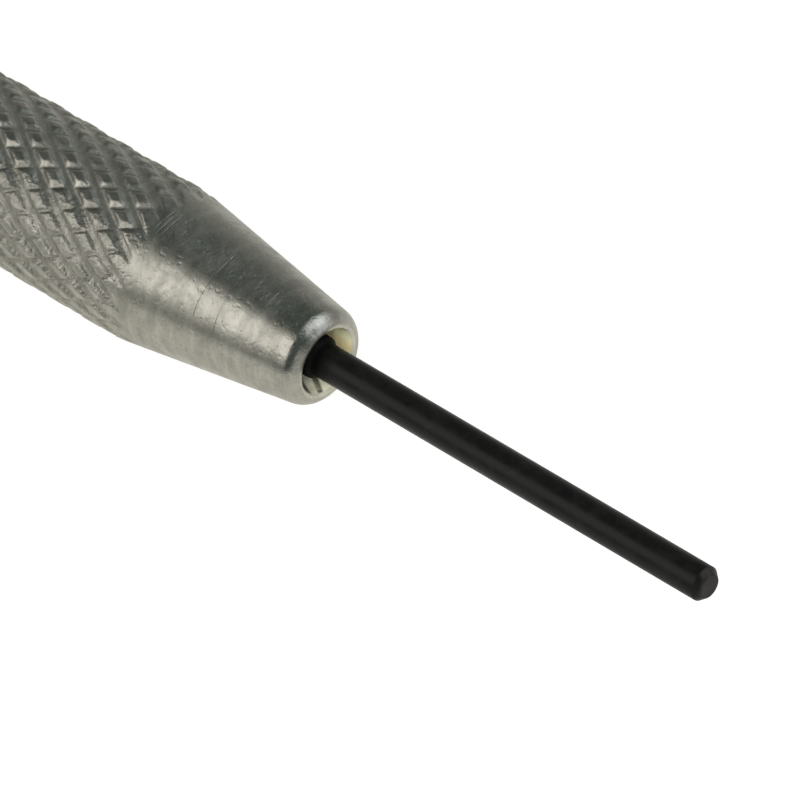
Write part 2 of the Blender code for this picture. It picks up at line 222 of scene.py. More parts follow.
def makeHandlingScratches():
    # two sparse sets of thin scratches, broken off at random
    tree, given, result = newEffect("handlingScratches", {"Size": 260.0, "Width": 0.012}, ("Scratches",))
    sets = []
    for turn, share in (((0.4, 0.9, 0.2), 0.56), ((1.3, 0.2, 0.8), 0.6)):
        inputs = {"Vector": given["Vector"], "Rotation": turn, "Scale": (1.0, 0.16, 0.5)}
        turned = wired(tree, "ShaderNodeMapping", inputs)
        inputs = {"Vector": turned, "Scale": given["Size"]}
        toEdge = wired(tree, "ShaderNodeTexVoronoi", inputs, "Distance", feature="DISTANCE_TO_EDGE")
        broken = ramp(noise(turned, 330.0), share, share + 0.06)
        sets.append(ramp(toEdge, given["Width"], 0.0) * broken)
    feed(result["Scratches"], calc("MAXIMUM", *sets))
    return tree


latheMarks = makeLatheMarks()
platingGrain = makePlatingGrain()
handlingScratches = makeHandlingScratches()


def newMaterial(name, constants):
    material = bpy.data.materials.new(name)
    material.use_nodes = True
    tree = material.node_tree
    shader = tree.nodes["Principled BSDF"].inputs
    for key, value in constants.items():
        shader[key].default_value = value
    place = wired(tree, "ShaderNodeTexCoord", (), "Object")
    # the tool's axis runs through zero
    centred = wired(tree, "ShaderNodeMapping", {"Vector": place, "Location": (0.0, 0.0, -axisHeight)})
    return material, shader, centred


def dress(shader, colour, rough, relief, depth, strength):
    inputs = {"Height": relief, "Distance": depth, "Strength": strength}
    feed(shader["Base Color"], colour)
    feed(shader["Roughness"], rough)
    feed(shader["Normal"], wired(relief.tree, "ShaderNodeBump", inputs))


# bright zinc plate of the sheath and the gland nut

zincLook = {
    "pale": (0.56, 0.545, 0.49, 1.0),
    "dull": (0.42, 0.415, 0.365, 1.0),
    "dirtAndShade": (0.17, 0.165, 0.14, 1.0),
    "edgeShade": (0.03, 0.03, 0.027, 1.0),
    "marks": {"Fine": 8000.0, "Coarse": 1300.0, "Around": 260.0},
    # how fine each pattern is, and how much colour each one brings
    "scale": {"cloud": 190.0, "speckle": 4300.0, "wave": 430.0, "clot": 1300.0, "bruise": 2300.0,
              "crumb": 3600.0, "pit": 6200.0, "dent": 2100.0, "stray": 240.0, "patch": 700.0},
    "share": {"cloud": 0.5, "mottle": 0.65, "streak": 0.28, "speckle": 0.25, "pits": 0.5, "clot": 0.12,
              "choked": 0.1, "held": 0.24, "edgeShade": 0.9, "ring": 0.55},
    # heights in thousandths of a millimetre
    "height": {"mark": 4.0, "grain": 15.0, "wave": 42.0, "scratch": -5.0, "bruise": 26.0, "crumb": 72.0,
               "pit": 12.0, "dent": -10.0, "ring": -9.0},
    "rough": (0.27, 0.38),
    "roughMore": {"knurl": 0.03, "groove": 0.16, "choked": 0.05, "nose": -0.09, "edgeShade": 0.55},
    # back from the mouth, where each begins and where it is full
    "knurlZone": (12.5 * mm, 15.5 * mm),
    "noseZone": (4.0 * mm, 1.2 * mm),
    "pitZone": (2.4 * mm, 1.0 * mm),
    "edgeShadeZone": (0.6 * mm, 0.4 * mm),
    "edgeShadeReach": (2.98 * mm, 2.60 * mm),       # from the axis
    # degrees from the top towards -Y
    "edgeShadeAngles": (-24.0, -4.0, 46.0, 64.0),
    "heldAngles": (8.0, 20.0, 40.0, 54.0),
    "chokedAngles": (10.0, 32.0),
    "clearAngles": (10.0, 30.0, 1.0, 0.1),
    "crumbAngles": (4.0, 30.0),
    # mm back from the mouth, half width, and where each starts and stops in degrees from the top towards -Y
    "ringScratches": ((8.4, 0.05, -14.0, 52.0), (6.7, 0.03, 24.0, 58.0), (4.0, 0.025, -10.0, 12.0),
                      (13.25, 0.08, -16.0, 8.0), (13.6, 0.10, -12.0, 9.0), (13.95, 0.08, -14.0, 6.0)),
    "ringFade": 3.0,             # degrees that a ring takes to end, either way
    "ringStray": 0.15 * mm,      # and how far it strays, either way
}


def wearAndShadeSheath(place, colour, rough, relief):
    # dirt, wear and painted shade that keep to their places on the sheath
    look = zincLook
    scale, share, height, more = look["scale"], look["share"], look["height"], look["roughMore"]
    x, y, z = split(place)
    fromMouth = mouthX - x
    angle = angleFromTop(y, z)
    rolled = ramp(fromMouth, *look["knurlZone"])
    groove = wired(place.tree, "ShaderNodeAttribute", (), "Fac", attribute_type="GEOMETRY",
                   attribute_name="groove")

    # grooves hold dirt, most of all on the side that faces -Y, and their floors are matt
    clotted = ramp(noise(place, scale["clot"], 3.0, 0.6), 0.35, 0.65, 0.0, share["clot"])
    choked = ramp(angle, *look["chokedAngles"]) * ramp(groove, 0.04, 0.3)
    floors = ramp(groove, 0.5, 0.9) * ramp(angle, *look["clearAngles"])
    # painted shade: a band of the knurl on the side that faces -Y is made darker
    held = window(angle, *look["heldAngles"]) * rolled
    colour = mixColour(ramp(groove, 0.6, 1.1) * clotted, colour, look["dirtAndShade"])
    colour = mixColour(choked * share["choked"], colour, look["dirtAndShade"])
    colour = mixColour(held * share["held"], colour, look["dirtAndShade"])
    rough = rough + rolled * more["knurl"] + floors * more["groove"] + choked * more["choked"]
    rough = rough + ramp(fromMouth, *look["noseZone"], 0.0, more["nose"])
    relief = relief + noise(place, scale["bruise"], 3.0, 0.55) * rolled * height["bruise"]
    crumbs = noise(place, scale["crumb"], 2.0, 0.6) * rolled * ramp(angle, *look["crumbAngles"])
    relief = relief + crumbs * height["crumb"]

    # the lip is pitted, its inner edge is painted in shade along the top, and the nose has small dents
    edge = ramp(fromAxis(y, z), *look["edgeShadeReach"]) * ramp(fromMouth, *look["edgeShadeZone"])
    edge = edge * window(angle, *look["edgeShadeAngles"])
    colour = mixColour(edge * share["edgeShade"], colour, look["edgeShade"])
    rough = rough + edge * more["edgeShade"]
    pitted = noise(place, scale["pit"], 2.0, 0.6) * ramp(fromMouth, *look["pitZone"])
    dents = calc("SUBTRACT", ramp(noise(place, scale["dent"], 1.0), 0.54, 0.76), rolled, clamp=True)
    relief = relief + pitted * height["pit"] + dents * height["dent"]

    # a few rings are scored round the nose
    fade, stray = look["ringFade"], look["ringStray"]
    back = fromMouth + (noise(place, scale["stray"], 1.0) * (2 * stray) - stray)
    patchy = ramp(noise(place, scale["patch"]), 0.3, 0.6, 0.25, 1.0)
    for distance, half, start, stop in look["ringScratches"]:
        reach = window(angle, start - fade, start + fade, stop - fade, stop + fade)
        line = ramp(abs(back - distance * mm), half * mm, 0.0) * reach * patchy
        relief = relief + line * height["ring"]
        colour = mixColour(line * share["ring"], colour, look["dirtAndShade"])
    return colour, rough, relief


def zincPlate(name, knurled):
    look = zincLook
    scale, share, height = look["scale"], look["share"], look["height"]
    material, shader, place = newMaterial(name, {"Metallic": 1.0})
    marks = useEffect(latheMarks, place, look["marks"])
    grain = useEffect(platingGrain, place)
    scratches = useEffect(handlingScratches, place)["Scratches"]
    cloud = ramp(noise(place, scale["cloud"], 3.0), 0.3, 0.75)
    speckle = ramp(noise(place, scale["speckle"], 2.0, 0.6), 0.5, 0.72)
    colour = mixColour(cloud * share["cloud"], look["pale"], look["dull"])
    colour = mixColour(grain["Mottle"] * share["mottle"], colour, look["dull"])
    for mask, key in ((marks["Streak"], "streak"), (speckle, "speckle"), (grain["Pits"], "pits")):
        colour = mixColour(mask * share[key], colour, look["dirtAndShade"])
    rough = ramp(cloud * 0.4 + grain["Mottle"] * 0.6, 0.2, 0.8, *look["rough"])
    relief = marks["Height"] * height["mark"] + grain["Height"] * height["grain"]
    relief = relief + noise(place, scale["wave"], 1.0) * height["wave"] + scratches * height["scratch"]
    if knurled:
        colour, rough, relief = wearAndShadeSheath(place, colour, rough, relief)
    dress(shader, colour, rough, relief, 0.001 * mm, 1.0)
    return material


# yellow passivation in the nose's bore, matt where nothing rubs it

chromateLook = {
    "straw": (0.96, 0.94, 0.62, 1.0),
    "green": (0.88, 0.91, 0.56, 1.0),
    "rose": (0.97, 0.82, 0.46, 1.0),
    "pale": (0.95, 0.94, 0.74, 1.0),
    "stainAndShade": (0.055, 0.054, 0.028, 1.0),
    "rubbed": (0.57, 0.565, 0.47, 1.0),
    "rubbedFrom": (2.402 * mm, 2.44 * mm),       # from the axis: on the lip, past the bore's edge
    "marks": {"Fine": 7000.0, "Coarse": 1700.0, "Around": 120.0},
    # degrees from the top towards -Y
    "paleAngles": (60.0, 100.0),
    "roseAngle": -117.0,
    "roseHalf": (24.0, 5.0),
    "edgeShadeAngles": (-75.0, -45.0, 88.0, 108.0),
    "paintedStreaks": ((117.0, 9.0), (146.5, 9.0)),   # at the mouth, and half the width
    "paintedStreakTurn": 15.5 / mm,                       # degrees that a mark turns going in
    "share": {"rose": 0.9, "streak": 0.15, "streakShade": 0.9, "edgeShade": 0.9},
    "rough": (0.5, 0.65),
    "depth": 0.01 * mm,
}


def chromateBore():
    look = chromateLook
    share = look["share"]
    material, shader, place = newMaterial("boreChromate", {"Metallic": 0.0, "Specular IOR Level": 0.3})
    x, y, z = split(place)
    angle = angleFromTop(y, z)
    marks = useEffect(latheMarks, place, look["marks"])
    colour = mixColour(ramp(noise(place, 420.0), 0.36, 0.64), look["straw"], look["green"])
    colour = mixColour(ramp(angle, *look["paleAngles"]), colour, look["pale"])
    blush = ramp(abs(angle - look["roseAngle"]), *look["roseHalf"])
    colour = mixColour(blush * share["rose"], colour, look["rose"])
    colour = mixColour(marks["Streak"] * share["streak"], colour, look["stainAndShade"])
    # two slanted dark streaks on the lower wall are the pin's painted shadow and painted reflection; the
    # noise below only breaks them up
    turned = angle - (mouthX - x) * look["paintedStreakTurn"]
    worn = ramp(noise(place, 1500.0), 0.25, 0.6, 0.7, 1.0)
    for start, half in look["paintedStreaks"]:
        streakShade = ramp(abs(turned - start), half, half * 0.3) * worn
        colour = mixColour(streakShade * share["streakShade"], colour, look["stainAndShade"])
    colour = mixColour(ramp(fromAxis(y, z), *look["rubbedFrom"]), colour, look["rubbed"])
    # painted shade along the upper near edge
    edgeShade = window(angle, *look["edgeShadeAngles"])
    colour = mixColour(edgeShade * share["edgeShade"], colour, look["stainAndShade"])
    rough = ramp(marks["Height"], 0.3, 0.7, *look["rough"])
    dress(shader, colour, rough, marks["Height"], look["depth"], 0.6)
    return material


# black oxide of the blade and the striker

oxideLook = {
    "black": (0.0045, 0.0045, 0.0042, 1.0),
    "grey": (0.008, 0.0079, 0.0073, 1.0),
    "worn": (0.024, 0.0212, 0.0198, 1.0),
    "bare": (0.17, 0.16, 0.15, 1.0),
    "shaded": (0.0015, 0.0015, 0.0014, 1.0),
    "marks": {"Fine": 12000.0, "Coarse": 2600.0, "Around": 200.0},
    "upperWay": (0.766, 0.643),                # Y and Z of the upper far side
    "upperFrom": (0.2 * mm, 0.9 * mm),
    "scratchShare": 0.2,
    "shadedMattFade": 0.8 * mm,
    "dullRough": 0.28,
    "rough": (0.30, 0.40),
    "depth": 0.008 * mm,
}


def blackOxide(name, worn, wornFrom, wornTo, skew, shadedMattTo):
    # satin, rubbed towards the working end that wornFrom and wornTo mark along X, matt and painted in shade
    # behind shadedMattTo
    # skew is how much further the wear reaches on the upper far side
    look = oxideLook
    material, shader, place = newMaterial(name, {"Metallic": 0.0, "IOR": 1.5, "Specular IOR Level": 0.19})
    marks = useEffect(latheMarks, place, look["marks"])
    grain = useEffect(platingGrain, place)
    scratches = useEffect(handlingScratches, place)["Scratches"]
    x, y, z = split(place)
    reach = x + ramp(towards(look["upperWay"], y, z), *look["upperFrom"], 0.0, skew)
    patchy = ramp(noise(place, 1400.0, 3.0), 0.3, 0.6)
    rubbed = ramp(reach, wornFrom, wornTo) * (patchy * 0.5 + 0.5)
    dull = ramp(x, shadedMattTo, shadedMattTo - look["shadedMattFade"])
    colour = mixColour(grain["Mottle"], look["black"], look["grey"])
    colour = mixColour(rubbed, colour, look[worn])
    colour = mixColour(scratches * look["scratchShare"], colour, look["worn"])
    # painted shade: darker behind the given x, which on the blade lies where it goes into the nose
    colour = mixColour(dull, colour, look["shaded"])
    rough = ramp(grain["Mottle"], 0.0, 1.0, *look["rough"]) + dull * look["dullRough"]
    dress(shader, colour, rough, marks["Height"] * 0.6 + grain["Height"] * 0.4, look["depth"], 0.5)
    return material


# bare turned or drawn metal, and the rubber

bareMetals = {
    "turnedSteel": {"pale": (0.5, 0.49, 0.47, 1.0), "dull": (0.34, 0.33, 0.31, 1.0), "rough": (0.28, 0.42),
                    "rings": 1600.0},
    "drawnWire": {"pale": (0.40, 0.40, 0.41, 1.0), "dull": (0.27, 0.27, 0.28, 1.0), "rough": (0.24, 0.36),
                  "rings": 900.0},
    "bushBrass": {"pale": (0.78, 0.57, 0.24, 1.0), "dull": (0.58, 0.40, 0.15, 1.0), "rough": (0.25, 0.38),
                  "rings": 1500.0},
}
rubberLook = {
    "black": (0.016, 0.016, 0.016, 1.0),
    "grey": (0.03, 0.029, 0.028, 1.0),
    "rough": (0.6, 0.85),
    "depth": 0.02 * mm,
}


def machinedMetal(name):
    look = bareMetals[name]
    rings = look["rings"]
    material, shader, place = newMaterial(name, {"Metallic": 1.0})
    marks = useEffect(latheMarks, place, {"Fine": rings * 5.0, "Coarse": rings, "Around": 140.0})
    grain = useEffect(platingGrain, place)
    colour = mixColour(marks["Streak"] * 0.5, look["pale"], look["dull"])
    colour = mixColour(grain["Pits"] * 0.6, colour, look["dull"])
    rough = ramp(grain["Mottle"], 0.0, 1.0, *look["rough"])
    dress(shader, colour, rough, marks["Height"], 0.01 * mm, 0.6)
    return material


def bufferRubber():
    look = rubberLook
    material, shader, place = newMaterial("bufferRubber", {"Metallic": 0.0})
    skin = noise(place, 2600.0, 4.0, 0.7)
    colour = mixColour(ramp(noise(place, 500.0), 0.3, 0.7), look["black"], look["grey"])
    dress(shader, colour, ramp(skin, 0.3, 0.7, *look["rough"]), skin, look["depth"], 0.5)
    return material


zincKnurled = zincPlate("zincKnurled", True)
zincPlain = zincPlate("zincPlain", False)
boreChromate = chromateBore()
bladeOxide = blackOxide("bladeOxide", "worn", tipX - 0.20 * mm, tipX - 0.02 * mm, 0.4 * mm,
                        mouthX + 0.6 * mm)
strikerOxide = blackOxide("strikerOxide", "bare", strikerLow.x + 1.6 * mm, strikerLow.x + 0.1 * mm, 0.0,
                          strikerLow.x)
turnedSteel = machinedMetal("turnedSteel")
drawnWire = machinedMetal("drawnWire")
bushBrass = machinedMetal("bushBrass")
bufferSkin = bufferRubber()
print("finishes made")


# mesh making

def ringMesh(name, profileAt, steps, closed, turn=0.0, crossSplit=None):
    # profileAt(angle) gives (x, radius) points; radius zero makes a pole
    points, faces, columns, poles = [], [], [], {}
    for step in range(steps):
        angle = turn + math.tau * step / steps
        column = []
        for index, (x, radius) in enumerate(profileAt(angle)):
            if radius < 1e-9 and index in poles:
                column.append(poles[index])
                continue
            if radius < 1e-9:
                poles[index] = len(points)
            column.append(len(points))
            points.append((x, radius * math.cos(angle), axisHeight + radius * math.sin(angle)))
        columns.append(column)
    rows = len(columns[0])
    for step, column in enumerate(columns):
        other = columns[(step + 1) % steps]
        for row in range(rows if closed else rows - 1):
            after = (row + 1) % rows
            corners = [column[row], other[row], other[after], column[after]]
            kept = [corner for place, corner in enumerate(corners) if corner not in corners[:place]]
            lean = crossSplit(step, row) if crossSplit and len(kept) == 4 else None
            if lean is None:
                faces.append(kept)
            elif lean:
                faces.append((kept[0], kept[1], kept[2]))
                faces.append((kept[0], kept[2], kept[3]))
            else:
                faces.append((kept[1], kept[2], kept[3]))
                faces.append((kept[0], kept[1], kept[3]))
    mesh = bpy.data.meshes.new(name)
    mesh.from_pydata(points, [], faces)
    shape = bmesh.new()
    shape.from_mesh(mesh)
    bmesh.ops.recalc_face_normals(shape, faces=shape.faces)
    shape.to_mesh(mesh)
    shape.free()
    mesh.update()
    return mesh


def arcPoints(centreX, centreRadius, radius, start, end, count):
    # angles count from straight out towards +X
    made = []
    for step in range(count + 1):
        angle = math.radians(start + (end - start) * step / count)
        made.append((centreX + radius * math.sin(angle), centreRadius + radius * math.cos(angle)))
    return made


def spread(first, last, count):
    # points between two profile points, ends left out
    made = []
    for step in range(1, count):
        share = step / count
        made.append((first[0] + (last[0] - first[0]) * share, first[1] + (last[1] - first[1]) * share))
    return made


def smooth(mesh, sharp):
    mesh.shade_smooth()
    mesh.set_sharp_from_angle(angle=math.radians(sharp))


def piece(name, mesh, material, sharp=38.0):
    made = bpy.data.objects.new(name, mesh)
    scene.collection.objects.link(made)
    if material:
        mesh.materials.append(material)
    smooth(mesh, sharp)
    return made


def fit(made, body, node):
    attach(made, body)
    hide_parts(node)
    triangles = sum(len(face.vertices) - 2 for face in made.data.polygons)
    print(made.name, "made,", triangles, "triangles")


# geometry trees: one named input for each value that a tree is given

def newGeometryTree(name, values):
    tree = bpy.data.node_groups.new(name, "GeometryNodeTree")
    tree.interface.new_socket("Geometry", in_out="INPUT", socket_type="NodeSocketGeometry")
    for label, value in values.items():
        kind = {float: "NodeSocketFloat", int: "NodeSocketInt"}.get(type(value), "NodeSocketMaterial")
        tree.interface.new_socket(label, in_out="INPUT", socket_type=kind)
    tree.interface.new_socket("Geometry", in_out="OUTPUT", socket_type="NodeSocketGeometry")
    return tree, byName(put(tree, "NodeGroupInput").outputs), put(tree, "NodeGroupOutput").inputs


def finished(mesh, material):
    # real geometry with its finish
    mesh = wired(mesh.tree, "GeometryNodeRealizeInstances", {0: mesh})
    return wired(mesh.tree, "GeometryNodeSetMaterial", {"Geometry": mesh, "Material": material})


def bakeNodes(made, makeTree, values, sharp):
    # run a geometry tree on the piece and keep the result as its plain mesh
    tree = makeTree(values)
    modifier = made.modifiers.new(tree.name, "NODES")
    modifier.node_group = tree
    for item in tree.interface.items_tree:
        if item.in_out == "INPUT" and item.name in values:
            modifier[item.identifier] = values[item.name]
    bpy.context.view_layer.update()
    evaluated = made.evaluated_get(bpy.context.evaluated_depsgraph_get())
    mesh = bpy.data.meshes.new_from_object(evaluated)
    made.modifiers.remove(modifier)
    old = made.data
    made.data = mesh
    mesh.name = made.name
    bpy.data.meshes.remove(old)
    smooth(mesh, sharp)


# guide sheath: a turned blank with the diamond knurl rolled into it

sheathLook = {
    "noseLength": 15.8 * mm,
    "boreRadius": 2.4 * mm,
    "noseWall": 1.03 * mm,
    "domeRadius": 1.53 * mm,
    "lipRadius": 0.32 * mm,
    "boreDepth": 13.0 * mm,
    "mainBore": 4.0 * mm,
    "threadBore": 4.6 * mm,
    "threadDepth": 8.3 * mm,
    "landDrop": 0.4 * mm,
    "landLength": 4.2 * mm,
    "landStep": 0.3 * mm,
    "rearChamfer": 0.5 * mm,
    "bareStep": 0.1 * mm,       # bare plate in front of the bore's shoulder
    "sharp": 42.0,
}
knurlLook = {
    "diamonds": 19,
    "helix": math.radians(30.3),
    "depth": 0.29 * mm,
    "flatShare": 0.8,           # depth of one hand of groove against the other
    "lowShare": 0.7,            # the same on the side that faces -Y
    "lowFlank": 1.6 / 16.0,     # and the width of its sides there
    "lowDepth": 0.55,           # and the depth of both hands against the rest
    "lowWay": (-0.985, -0.174),   # Y and Z of that side
    "lowFrom": (0.04, 0.36),    # cosine to it where the low grooves begin and are full
    "lowTo": (0.58, 0.85),      # and where both hands are back at full depth
    "lowFade": 1.0 * mm,        # length over which the full depth comes back, up to fadeFrom
    "steepFloor": 1.9 / 16.0,   # share of a pitch that half a groove's floor takes, by hand of groove
    "steepFlank": 3.2 / 16.0,   # and each of its sides
    "flatFloor": 0.5 / 16.0,
    "flatFlank": 3.7 / 16.0,
    "softness": 0.36,        # how far the land's edges are worn round
    "floorSoftness": 0.2,    # the same for the edges of a floor
    "crossSoftness": 0.08,   # and where the two hands cross
    "wander": 0.10,          # share of a pitch that the grooves stray
    "strayScale": 520.0,
    "fadeFrom": 14.9 * mm,   # the rolls bite less towards the taper, back from the mouth
    "fadeTo": 13.2 * mm,
    "fadeShare": 0.85,
    "cells": 8,              # mesh steps in half a diamond
    "rowsAhead": 2,          # mesh steps in front of the first crossing
    "start": 13.24 * mm,     # first crossing of the grooves, back from the mouth
    "turn": math.radians(-2.15),
    "unevenness": 0.10 * mm,
    "reachDown": 0.85 * mm,  # nothing further below the crests is rolled
    "seed": 11.0,
    "lipWay": (0.441, -0.898),           # Y and Z of the far lower side
    "lipTurn": (-0.3, 0.3),              # cosine to it, between which the bore's finish gains
    "lipStrip": (0.005 * mm, 0.2 * mm),  # this much on the lip
}
noseSlope = (crestRadius - sheathLook["boreRadius"] - sheathLook["noseWall"]) / sheathLook["noseLength"]
rowPitch = math.pi * crestRadius / knurlLook["diamonds"] / math.tan(knurlLook["helix"])
knurlFront = mouthX - knurlLook["start"]
knurlRows = int((knurlFront - rearX - sheathLook["landLength"]) / rowPitch)
knurlRear = knurlFront - knurlRows * rowPitch
tiny = 0.01 * mm     # slack where places are compared


def coneRadius(x):
    return sheathLook["boreRadius"] + sheathLook["noseWall"] + noseSlope * (mouthX - x)


def noseDome():
    # small lip round the bore, then a wider arc that runs into the cone
    look = sheathLook
    lean = math.atan(noseSlope)
    lipCentre = look["boreRadius"] + look["lipRadius"]
    apart = look["domeRadius"] - look["lipRadius"]
    inset = look["boreRadius"] + look["noseWall"] - look["domeRadius"] / math.cos(lean)
    drop = lipCentre - inset - noseSlope * look["lipRadius"]
    square = 1 + noseSlope ** 2
    back = (drop * noseSlope + math.sqrt(square * apart ** 2 - drop ** 2)) / square
    domeX = mouthX - look["lipRadius"] - back
    domeCentre = inset + noseSlope * (look["lipRadius"] + back)
    meeting = math.degrees(math.atan2(back, lipCentre - domeCentre))
    lip = arcPoints(mouthX - look["lipRadius"], lipCentre, look["lipRadius"], 180.0, meeting, 12)
    dome = arcPoints(domeX, domeCentre, look["domeRadius"], meeting, math.degrees(lean), 14)
    return lip + dome[1:]


def makeDiamondKnurl(values):
    look = knurlLook
    tree, give, result = newGeometryTree("diamondKnurl", values)
    place = wired(tree, "GeometryNodeInputPosition")
    x, y, z = split(place)
    rise = z - give["Axis Height"]
    radius = fromAxis(y, rise)
    angle = calc("ARCTAN2", rise, y) - give["Turn"]
    around = angle / math.tau * give["Diamonds Round"]
    along = (give["Front X"] - x) / (give["Row Pitch"] * 2.0)
    inputs = {"Vector": place, "W": give["Seed"], "Scale": look["strayScale"], "Detail": 3.0}
    stray = split(wired(tree, "ShaderNodeTexNoise", inputs, "Color", noise_dimensions="4D"))

    # the flat grooves are narrow and shallow on the side that faces -Y
    facing = towards(look["lowWay"], y, rise) / radius
    flatFlank = ramp(facing, *look["lowFrom"], give["Flat Flank"], give["Low Flank"])
    flatShare = ramp(facing, *look["lowFrom"], give["Flat Share"], give["Low Share"])
    fadeX = give["Fade From X"]
    lowFront = ramp(x, fadeX - look["lowFade"], fadeX, give["Low Depth"], 1.0)
    lowDepth = ramp(facing, *look["lowTo"], ramp(facing, *look["lowFrom"], 1.0, lowFront), 1.0)

    def groove(across, floor, flank, offset):
        # nothing on the floor, one at the top of the side
        across = across + (offset - 0.5) * give["Wander"]
        away = calc("PINGPONG", across, 0.5) - floor
        return calc("SMOOTH_MAX", away / flank, 0.0, look["floorSoftness"])

    steep = groove(around + along, give["Steep Floor"], give["Steep Flank"], stray[1])
    flat = groove(around - along, give["Flat Floor"], flatFlank, stray[2])
    flat = 1.0 - (1.0 - flat) * flatShare
    level = calc("SMOOTH_MIN", steep, flat, look["crossSoftness"])
    level = calc("SMOOTH_MIN", level, 1.0, give["Softness"])

    # grooves are cut below the crest; the cone stays where it is already lower
    bite = ramp(x, fadeX, give["Fade To X"], 1.0, give["Fade Share"]) * lowDepth * give["Groove Depth"]
    wanted = give["Crest Radius"] - (1.0 - level) * bite - abs((stray[0] - 0.5) * give["Unevenness"])
    ahead = calc("GREATER_THAN", x, give["Rear X"] - tiny)
    outside = calc("GREATER_THAN", radius, give["Crest Radius"] - look["reachDown"])
    newRadius = radius + (calc("MINIMUM", radius, wanted) - radius) * (ahead * outside)
    ratio = newRadius / calc("MAXIMUM", radius, tiny)
    moved = join(x, y * ratio, rise * ratio + give["Axis Height"])
    depthNow = calc("DIVIDE", radius - newRadius, give["Groove Depth"], clamp=True)
    inputs = {"Geometry": give["Geometry"], "Name": "groove", "Value": depthNow}
    mesh = wired(tree, "GeometryNodeStoreNamedAttribute", inputs, data_type="FLOAT", domain="POINT")
    mesh = wired(tree, "GeometryNodeSetPosition", {"Geometry": mesh, "Position": moved})
    mesh = finished(mesh, give["Finish"])

    # the bore's finish reaches further round the lip on the far lower side
    strip = ramp(towards(look["lipWay"], y, rise) / radius, *look["lipTurn"], *look["lipStrip"])
    inBore = calc("LESS_THAN", radius, give["Bore Radius"] + strip)
    inBore = inBore * calc("GREATER_THAN", x, give["Bore End X"])
    inputs = {"Geometry": mesh, "Selection": inBore, "Material": give["Bore Finish"]}
    feed(result["Geometry"], wired(tree, "GeometryNodeSetMaterial", inputs))
    return tree


def makeSheath():
    look, knurl = sheathLook, knurlLook
    cells = knurl["cells"]
    steps = knurl["diamonds"] * 2 * cells
    rowStep = rowPitch / cells
    shoulderX = mouthX - look["boreDepth"]
    threadX = rearX + look["threadDepth"]
    landRadius = crestRadius - look["landDrop"]
    dome = noseDome()
    rows = [knurlFront - rowStep * row for row in range(-knurl["rowsAhead"], knurlRows * cells + 1)]
    startX = knurlFront + rowStep * knurl["rowsAhead"]
    outside = dome + spread(dome[-1], (startX, coneRadius(startX)), 10)
    firstRow = len(outside)
    outside += [(x, min(crestRadius, coneRadius(x))) for x in rows]
    lastRow = len(outside) - 1
    outside += [(knurlRear - look["landStep"], landRadius), (rearX + look["rearChamfer"], landRadius),
                (rearX, landRadius - look["rearChamfer"])]
    inside = [(rearX, look["threadBore"]), (threadX, look["threadBore"]), (threadX, look["mainBore"]),
              (shoulderX, look["mainBore"]), (shoulderX, look["boreRadius"])]
    inside += spread(inside[-1], dome[0], 12)
    profile = outside + inside

    def alongGroove(step, row):
        # each face is split along the groove side that it lies on
        if not firstRow <= row < lastRow:
            return None
        around = (step + 0.5) / (2 * cells)
        along = (row - firstRow - knurl["rowsAhead"] + 0.5) / (2 * cells)
        rising = abs((around + along + 0.5) % 1.0 - 0.5)
        falling = abs((around - along + 0.5) % 1.0 - 0.5)
        return rising > falling

    mesh = ringMesh("guideSheath", lambda angle: profile, steps, True, knurl["turn"], alongGroove)
    sheath = piece("guideSheath", mesh, None)
    bakeNodes(sheath, makeDiamondKnurl, {
        "Axis Height": axisHeight, "Diamonds Round": float(knurl["diamonds"]), "Row Pitch": rowPitch,
        "Groove Depth": knurl["depth"], "Flat Share": knurl["flatShare"], "Low Share": knurl["lowShare"],
        "Low Flank": knurl["lowFlank"], "Low Depth": knurl["lowDepth"],
        "Steep Floor": knurl["steepFloor"], "Steep Flank": knurl["steepFlank"],
        "Flat Floor": knurl["flatFloor"], "Flat Flank": knurl["flatFlank"],
        "Softness": knurl["softness"], "Wander": knurl["wander"],
        "Fade From X": mouthX - knurl["fadeFrom"], "Fade To X": mouthX - knurl["fadeTo"],
        "Fade Share": knurl["fadeShare"], "Crest Radius": crestRadius, "Front X": knurlFront,
        "Rear X": knurlRear, "Turn": knurl["turn"], "Unevenness": knurl["unevenness"], "Seed": knurl["seed"],
        "Bore Radius": look["boreRadius"], "Bore End X": shoulderX + look["bareStep"], "Finish": zincKnurled,
        "Bore Finish": boreChromate}, look["sharp"])
    fit(sheath, "sheath", "guide_sheath")


makeSheath()


# punch blade: stepped and headed pin

bladeLook = {
    "pin": 1.25 * mm,
    "root": 1.55 * mm,
    "head": 2.4 * mm,
    "headLength": 2.5 * mm,
    "tipFlat": 0.85 * mm,
    "chamfer": 0.5 * mm,
    "rootRecess": 0.85 * mm,
    "filletLength": 0.5 * mm,
    "filletSteps": 12,
    "edgeRound": 0.03 * mm,
}


